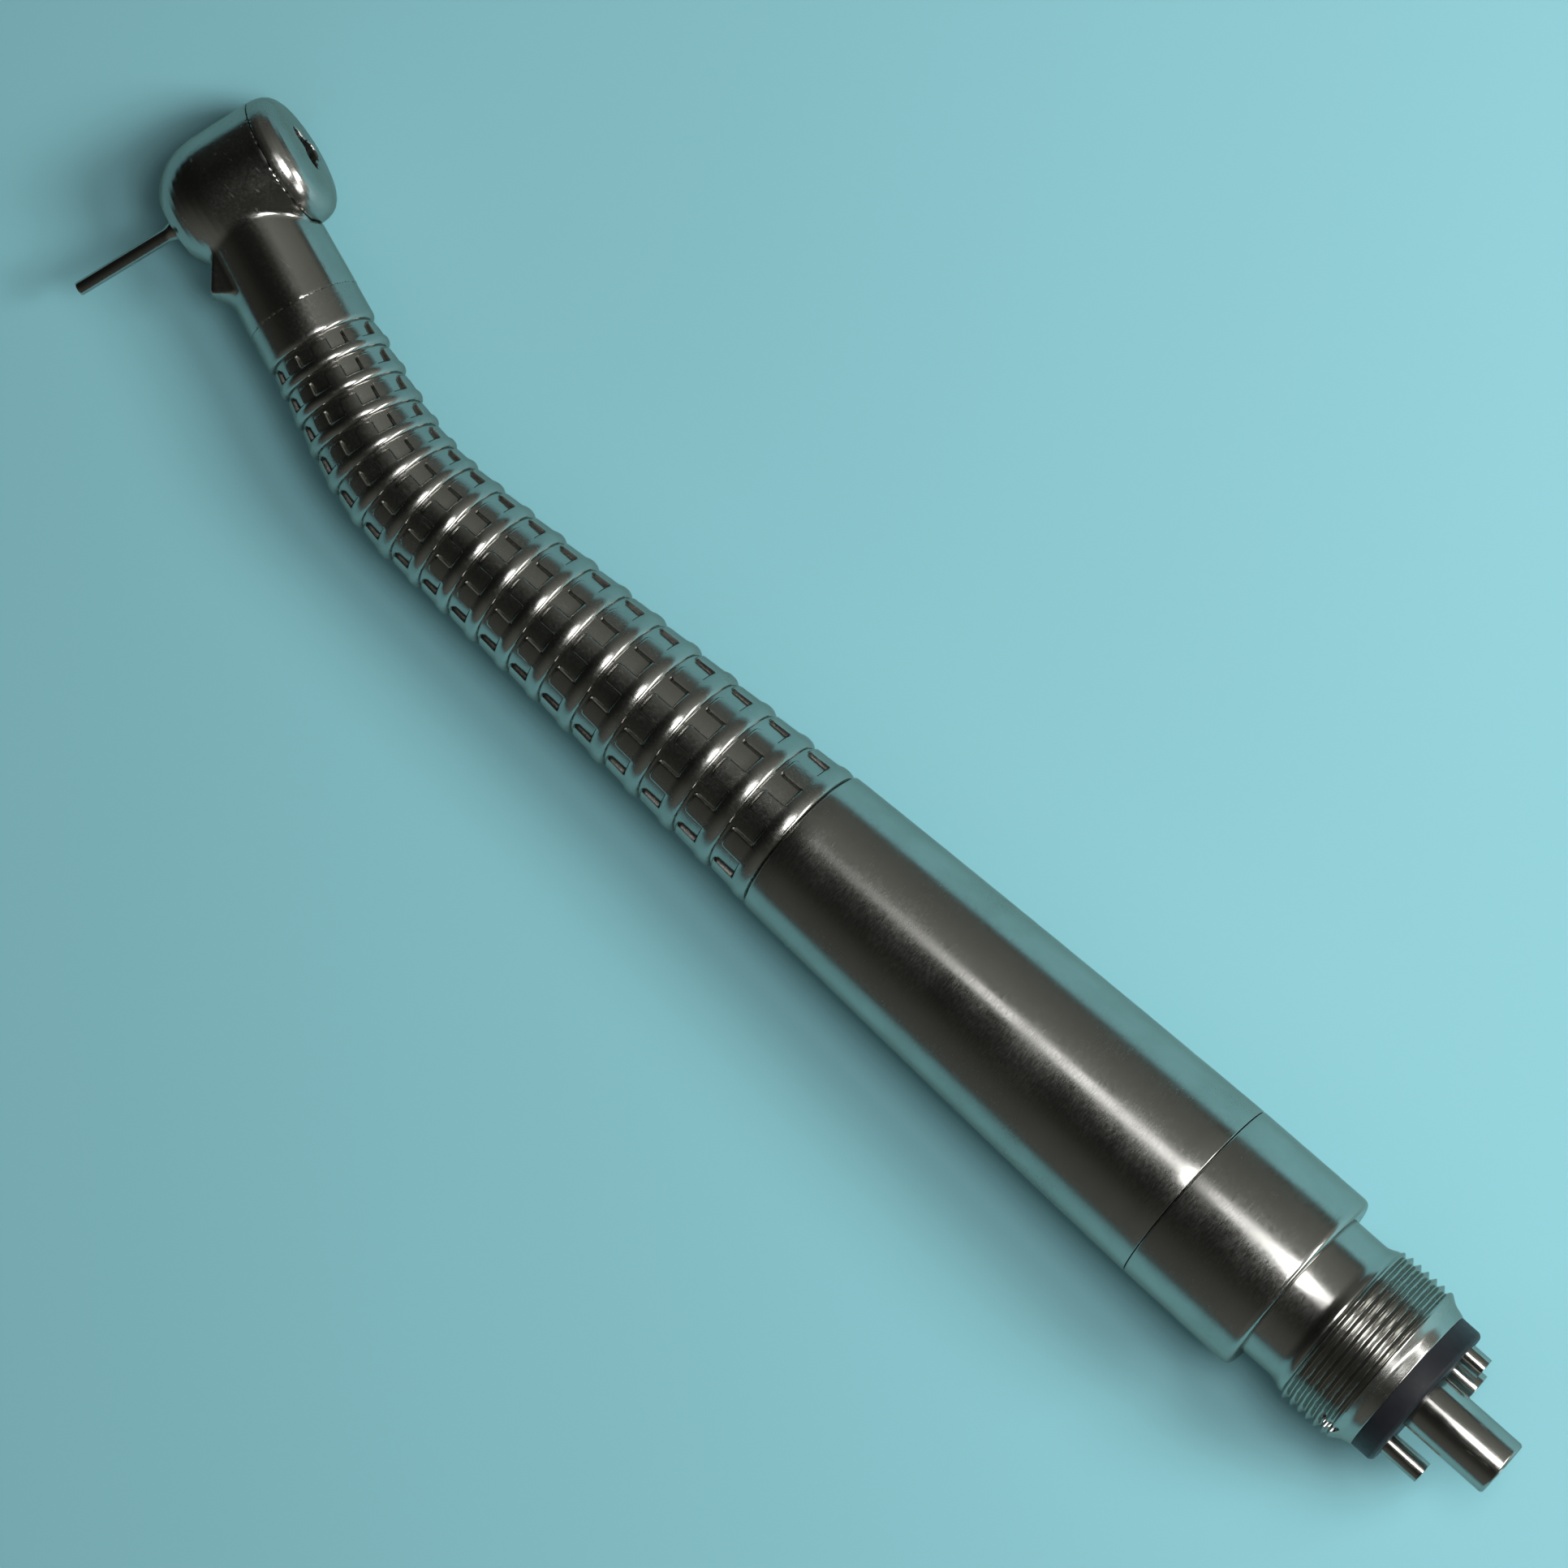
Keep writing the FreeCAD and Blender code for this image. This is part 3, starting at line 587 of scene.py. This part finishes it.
def grip_samples():
    """Stations along the grip: close together over ribs and pad edges."""
    out = list(np.linspace(NECK_END, RIB_FIRST - 0.6, 10))
    places = rib_places()
    for k, s in enumerate(places):
        half = rib_half(k)
        out.extend(s + half * np.sin(np.linspace(-math.pi / 2, math.pi / 2, 11)))
        if k + 1 < RIBS:
            low, high = s + half, places[k + 1] - rib_half(k + 1)
            out.extend(low + np.array([0.03, 0.14]))
            out.extend(low + GAP + np.array([-0.07, -0.01, 0.05, 0.11, 0.2, 0.33]))
            out.extend(np.linspace(low + GAP + 0.45, high - 0.03, 3))
    out.extend(np.linspace(places[-1] + 0.78, GRIP_END, 4))
    return np.array(sorted(set(np.round(out, 4))))


def grip_turns():
    """Angles round the grip, close together at the pad edges."""
    step = 360.0 / PADS
    near_edge = np.array([-2.4, -1.3, -0.6, 0.0, 0.6, 1.3, 2.4])
    out = []
    for k in range(PADS):
        middle = PAD_FIRST + k * step
        for edge in (-PAD_ANGLE / 2, PAD_ANGLE / 2):
            out.extend(middle + edge + near_edge)
        out.extend(middle + np.array([-4.5, -1.5, 1.5, 4.5]))
        out.extend(middle + step / 2 + np.array([-3.5, 0.0, 3.5]))
    return np.array(sorted(o % 360 for o in out))


def grip_radius(s, turn):
    """Radius over a grid of stations and angles: floor, half-round ribs, soft-cornered pads."""
    outer = envelope(s)
    top = outer[:, None] * np.ones((1, len(turn)))
    places = rib_places()
    r = top - DEPTH
    r[s < places[0]] = top[s < places[0]]
    step = 360 / PADS
    away = (turn[None, :] - PAD_FIRST + step / 2) % step - step / 2
    across = np.radians(away) * (outer - 0.3)[:, None]
    half_pad = math.radians(PAD_ANGLE / 2) * (outer - 0.3)[:, None]
    for k, p in enumerate(places):
        half = rib_half(k)
        u = (s - p) / half
        rib = DEPTH * np.sqrt(np.clip(1 - u * u, 0, 1)) ** 0.9
        r = np.maximum(r, (outer - DEPTH + rib)[:, None])
        if k + 1 == RIBS:
            continue
        low = p + half + GAP
        high = places[k + 1]
        # distance to the pad's outline on the unrolled groove, then a soft step up over its edge
        qx = np.abs(across) - (half_pad - PAD_CORNER)
        qy = (low + PAD_CORNER) - s[:, None] + 0 * qx
        corner = np.sqrt(np.maximum(qx, 0) ** 2 + np.maximum(qy, 0) ** 2)
        distance = corner + np.minimum(np.maximum(qx, qy), 0) - PAD_CORNER
        share = np.clip(-distance / 0.13 + 0.35, 0, 1)
        share = share * share * (3 - 2 * share)
        rise = np.clip((s - low) / (high - low), 0, 1)[:, None]
        pad = (DEPTH - PAD_DROP - 0.04 + 0.10 * rise) * share
        zone = ((s > p + half * 0.5) & (s < high))[:, None]
        r = np.where(zone, np.maximum(r, top - DEPTH + pad), r)
    return r


def grip_ring(s, radius, turn):
    """Ring of points about the centreline; turn is measured from +Z toward the cap side."""
    point, side = centreline(s)
    outward = (np.sin(turn)[:, None] * np.array(side)
               + np.cos(turn)[:, None] * np.array([0, 0, 1.0]))
    return np.array(point) + radius[:, None] * outward


def build_grip():
    """Ribbed outside and plain bore of the grip, with the tenon that enters the sleeve."""
    s = grip_samples()
    turn = grip_turns()
    radius = grip_radius(s, turn)
    angles = np.radians(turn)
    rings = [grip_ring(station, radius[k], angles) for k, station in enumerate(s)]
    tenon_end = GRIP_END + TENON_REACH
    for station, r in ((GRIP_END, GRIP_TENON_R), (tenon_end, GRIP_TENON_R), (tenon_end, 4.7),
                       (GRIP_END, 4.7), (BEND_END, 3.66), (BEND_START, 3.6),
                       (NECK_END + 1.8, 3.5), (NECK_END, 3.5)):
        rings.append(grip_ring(station, np.full(len(turn), r), angles))
    rings.append(grip_ring(NECK_END, radius[0], angles))
    grid = np.array(rings)
    faces = grid_faces(len(grid), len(turn))[:, ::-1]
    points, faces = merge_points(grid.reshape(-1, 3), faces)
    return to_object("grip_body", points, faces, "handpiece", grip_metal,
                     ("grip_shell",), angle=40)


build_grip()


# ---------------------------------------------------------------- sleeve, ring, connector
def sleeve_profile():
    """Tapered sleeve with a slight belly, open at both ends."""
    out = [(GRIP_TENON_R, SLEEVE_FRONT_X, 0.02), (GRIP_REAR_R, SLEEVE_FRONT_X, 0.08)]
    for k in range(1, 24):
        t = k / 24
        out.append((GRIP_REAR_R + (RING_R - GRIP_REAR_R) * t + 0.4 * t * (1 - t),
                    SLEEVE_FRONT_X + SLEEVE_LENGTH * t, 0.0))
    plug_front = RING_FRONT_X - PLUG_REACH
    out.extend([(RING_R, RING_FRONT_X - 0.02, 0.12), (PLUG_R, RING_FRONT_X, 0.02),
                (PLUG_R, plug_front, 0.02), (6.1, plug_front, 0.02),
                (GRIP_TENON_R, SLEEVE_FRONT_X + TENON_REACH, 0.02)])
    return out


lathe("barrel_sleeve", sleeve_profile(), body_points, "handpiece", sleeve_metal,
      200, ("rear_sleeve",))
lathe("barrel_ring", [(PLUG_R, RING_FRONT_X, 0.02), (RING_R, RING_FRONT_X + 0.02, 0.12),
                      (7.395, RING_REAR_X - 0.52, 0.1), (7.31, RING_REAR_X - 0.24, 0.1),
                      (7.12, RING_REAR_X - 0.07, 0.1), (6.9, RING_REAR_X, 0.08),
                      (WAIST_R, RING_REAR_X, 0.02), (WAIST_R, RING_REAR_X - WAIST_REACH, 0.02),
                      (PLUG_R, RING_REAR_X - WAIST_REACH, 0.02)],
      body_points, "handpiece", ring_metal, 200, ("rear_ring",))

THREAD_START = -(COLLAR + TURNS * THREAD_PITCH)
THREAD_FRONT, THREAD_REAR = THREAD_START - 0.3, -COLLAR + 0.12
# slot in the collar: angle from +Z toward -Y, middle, half-length, half-width and depth
SLOT_ANGLE, SLOT_X, SLOT_HALF, SLOT_R, SLOT_DEPTH = 56.0, -1.85, 0.35, 0.33, 0.85


def thread_radius(x, turns):
    """Radius round one section of the helical thread, run out at both ends."""
    phase = ((x - THREAD_START) / THREAD_PITCH - turns / (2 * math.pi)) % 1.0
    wave = np.clip(np.abs(phase - 0.5) * 2, 0, 1)
    shape = np.clip((wave - 0.12) / 0.78, 0, 1)
    fade = (np.clip((x - THREAD_FRONT) / 0.45, 0, 1) * np.clip((THREAD_REAR - x) / 0.35, 0, 1))
    base = RUNOUT_R if x < THREAD_START + 0.3 else COLLAR_R
    return base + (THREAD_R - THREAD_DEPTH * (1 - shape) - base) * fade


def collar_profile():
    """Tapered collar behind the thread, cut fine where the slot needs it."""
    profile = rounded([(COLLAR_R, THREAD_REAR + 0.01, 0), (6.05, -COLLAR + 0.75, 0.15),
                       (5.8, 0.0, 0.1), (0.0, 0.0, 0)], 0.1)
    out = []
    for (r0, x0), (r1, x1) in zip(profile, profile[1:]):
        n = max(1, int(math.hypot(r1 - r0, x1 - x0) / 0.09)) if x0 < -0.3 else 1
        out.extend((r0 + (r1 - r0) * i / n, x0 + (x1 - x0) * i / n) for i in range(n))
    out.append(tuple(profile[-1]))
    return out


def build_connector():
    """One turned surface; the thread is a true helix and the collar has a drilled slot."""
    turns = np.linspace(0, 2 * math.pi, 240, endpoint=False)
    plug_front, plug_rear = RING_FRONT_X - PLUG_REACH, RING_REAR_X - WAIST_REACH
    front = rounded([(5.05, plug_front, 0), (PLUG_R, plug_front), (PLUG_R, plug_rear, 0.02),
                     (WAIST_R, plug_rear, 0.02), (WAIST_R, THREAD_START - 1.0, 0.4),
                     (RUNOUT_R, THREAD_START - 0.35, 0.1)], 0.1)
    sections = [(np.full(turns.shape, r), x) for r, x in front]
    sections.extend((thread_radius(x, turns), x)
                    for x in np.arange(THREAD_FRONT, THREAD_REAR, 0.028))
    sections.extend((np.full(turns.shape, r), x) for r, x in collar_profile())
    # local x is +Y and local y is +Z, so the slot's angle from local x is 90 + SLOT_ANGLE
    away = (np.degrees(turns) - 90 - SLOT_ANGLE + 180) % 360 - 180
    across = np.radians(away) * 6.2
    rows = []
    for r, x in sections:
        along = max(abs(x - SLOT_X) - SLOT_HALF, 0)
        into = SLOT_R - np.sqrt(along ** 2 + across ** 2)
        r = r - SLOT_DEPTH * np.clip(into / 0.08, 0, 1) * (r > 5.0)
        rows.append(np.stack([r * np.cos(turns), r * np.sin(turns), np.full(turns.shape, x)],
                             axis=1))
    rows.append(rows[0])
    grid = np.array(rows)
    faces = grid_faces(len(grid), len(turns))
    points, faces = merge_points(body_points(grid.reshape(-1, 3)), faces)
    return to_object("connector_turned", points, faces, "handpiece",
                     connector_metal, ("connector_body",), angle=40)


build_connector()

lathe("gasket_disc", [(0, 0, 0), (GASKET_R, 0.0, 0.03), (GASKET_R, GASKET_THICK - 0.25, 0.1),
                      (5.5, GASKET_THICK, 0.1), (0, GASKET_THICK, 0)],
      body_points, "handpiece", black_rubber, 160, ("gasket",), closed=False)
lathe("exhaust_pipe", [(EXHAUST_BORE, -2.6, 0), (EXHAUST_R - 0.05, -2.6, 0),
                       (EXHAUST_R - 0.05, GASKET_THICK, 0.01),
                       (EXHAUST_R, GASKET_THICK + 0.02, 0.01),
                       (EXHAUST_R, EXHAUST_END - 0.18, 0.06), (2.02, EXHAUST_END, 0.05),
                       (1.82, EXHAUST_END - 0.02, 0.05), (EXHAUST_BORE, EXHAUST_END - 0.2, 0.05)],
      body_points, "handpiece", tube_metal, 128, ("exhaust_tube",),
      shift=EXHAUST_AT)


# ---------------------------------------------------------------- floor, light, camera
low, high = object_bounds()
floor_z = min(low[2], cad_low[2])
bpy.ops.mesh.primitive_plane_add(size=4.0, location=(0, 0, floor_z - 0.00002))
floor = bpy.context.object
floor.name = "floor"
mat, tree, shader = nodes_of("floor_paper")
FLOOR_DARK, FLOOR_LIGHT = (0.265, 0.605, 0.665), (0.28, 0.625, 0.685)
tree.links.new(colour_mix(tree, noise(tree, mapped(tree), 12.0), FLOOR_DARK, FLOOR_LIGHT),
               shader.inputs["Base Color"])
shader.inputs["Roughness"].default_value = 0.6
floor.data.materials.append(mat)

# pale sky brighter to the cap side and to the rear, seen only in the metal's reflections
world = bpy.data.worlds.new("surround")
bpy.context.scene.world = world
world.use_nodes = True
tree = world.node_tree
background = tree.nodes["Background"]
direction = tree.nodes.new("ShaderNodeTexCoord")
parts = tree.nodes.new("ShaderNodeSeparateXYZ")
tree.links.new(direction.outputs["Generated"], parts.inputs["Vector"])
side = ranged(tree, parts.outputs["Y"], -1, 1, 0, 1)
along = ranged(tree, parts.outputs["X"], -0.6, 0.7, 0.45, 1.7)
across = ramp(tree, side, [
    (0.0, (0.11, 0.112, 0.10)), (0.1, (0.075, 0.077, 0.068)), (0.2, (0.035, 0.036, 0.031)),
    (0.3, (0.021, 0.022, 0.019)), (0.5, (0.021, 0.022, 0.019)), (0.6, (0.05, 0.052, 0.046)),
    (0.7, (0.15, 0.155, 0.14)), (0.78, (0.24, 0.245, 0.225)), (0.9, (0.19, 0.195, 0.175)),
    (0.985, (0.14, 0.145, 0.13)), (1.0, (0.06, 0.065, 0.055))])
tree.links.new(across, background.inputs["Color"])
tree.links.new(along, background.inputs["Strength"])
world.cycles_visibility.diffuse = False
bpy.context.scene.view_settings.view_transform = "Standard"


def area(name, place, aim, size, power, glossy=True, diffuse=True):
    """Rectangular lamp; glossy and diffuse say which surfaces it lights."""
    data = bpy.data.lights.new(name, "AREA")
    data.shape = "RECTANGLE"
    data.size, data.size_y = size
    data.energy = power
    obj = bpy.data.objects.new(name, data)
    bpy.context.scene.collection.objects.link(obj)
    obj.location = place
    toward = Vector(aim) - Vector(place)
    obj.rotation_euler = toward.to_track_quat("-Z", "Y").to_euler()
    obj.visible_glossy = glossy
    obj.visible_diffuse = diffuse
    obj.visible_camera = False
    return obj


area("overhead", (0.0565, 0.092, 0.31), (0.0565, 0.0919, 0.0), (0.155, 0.10), 0.45)
area("overhead_end", (-0.0675, 0.105, 0.31), (-0.0675, 0.1049, 0.0), (0.09, 0.07), 0.037, True, False)
area("rear", (0.25, 0.14, 0.18), (0.0, 0.0, 0.0), (0.30, 0.08), 0.5, True, False)
area("side", (0.18, 0.22, 0.27), (0.0, 0.0, 0.0), (0.15, 0.15), 1.25, False)
area("fill", (0.0, -0.15, 0.9), (0.0, 0.0, 0.0), (1.2, 1.2), 1.3, False)

cam = bpy.data.cameras.new("camera")
cam_obj = bpy.data.objects.new("camera", cam)
bpy.context.scene.collection.objects.link(cam_obj)
bpy.context.scene.camera = cam_obj


def row(point):
    return TO_ROW @ Vector(point)


# design-frame camera: above the bend plane, a little behind the middle and to the cap side
CAM_AT = (15.4, 58.22, 424.0)
CAM_TO = (-59.6, 2.22, 0.0)
CAM_ROLL = 40.32
CAM_LENS, CAM_SENSOR = 142.919, 36.0
place, target = row(CAM_AT), row(CAM_TO)
forward = (target - place).normalized()
up = (LEVEL.inverted() @ Vector((0, 1, 0)))
right = forward.cross(up).normalized()
up = right.cross(forward)
roll = math.radians(CAM_ROLL)
rolled_right = right * math.cos(roll) + up * math.sin(roll)
rolled_up = up * math.cos(roll) - right * math.sin(roll)
rotation = Matrix((rolled_right, rolled_up, -forward)).transposed()
cam_obj.matrix_world = Matrix.Translation(place) @ rotation.to_4x4()
cam.sensor_width = CAM_SENSOR
cam.lens = CAM_LENS
cam.clip_start = 0.01
cam.clip_end = 10
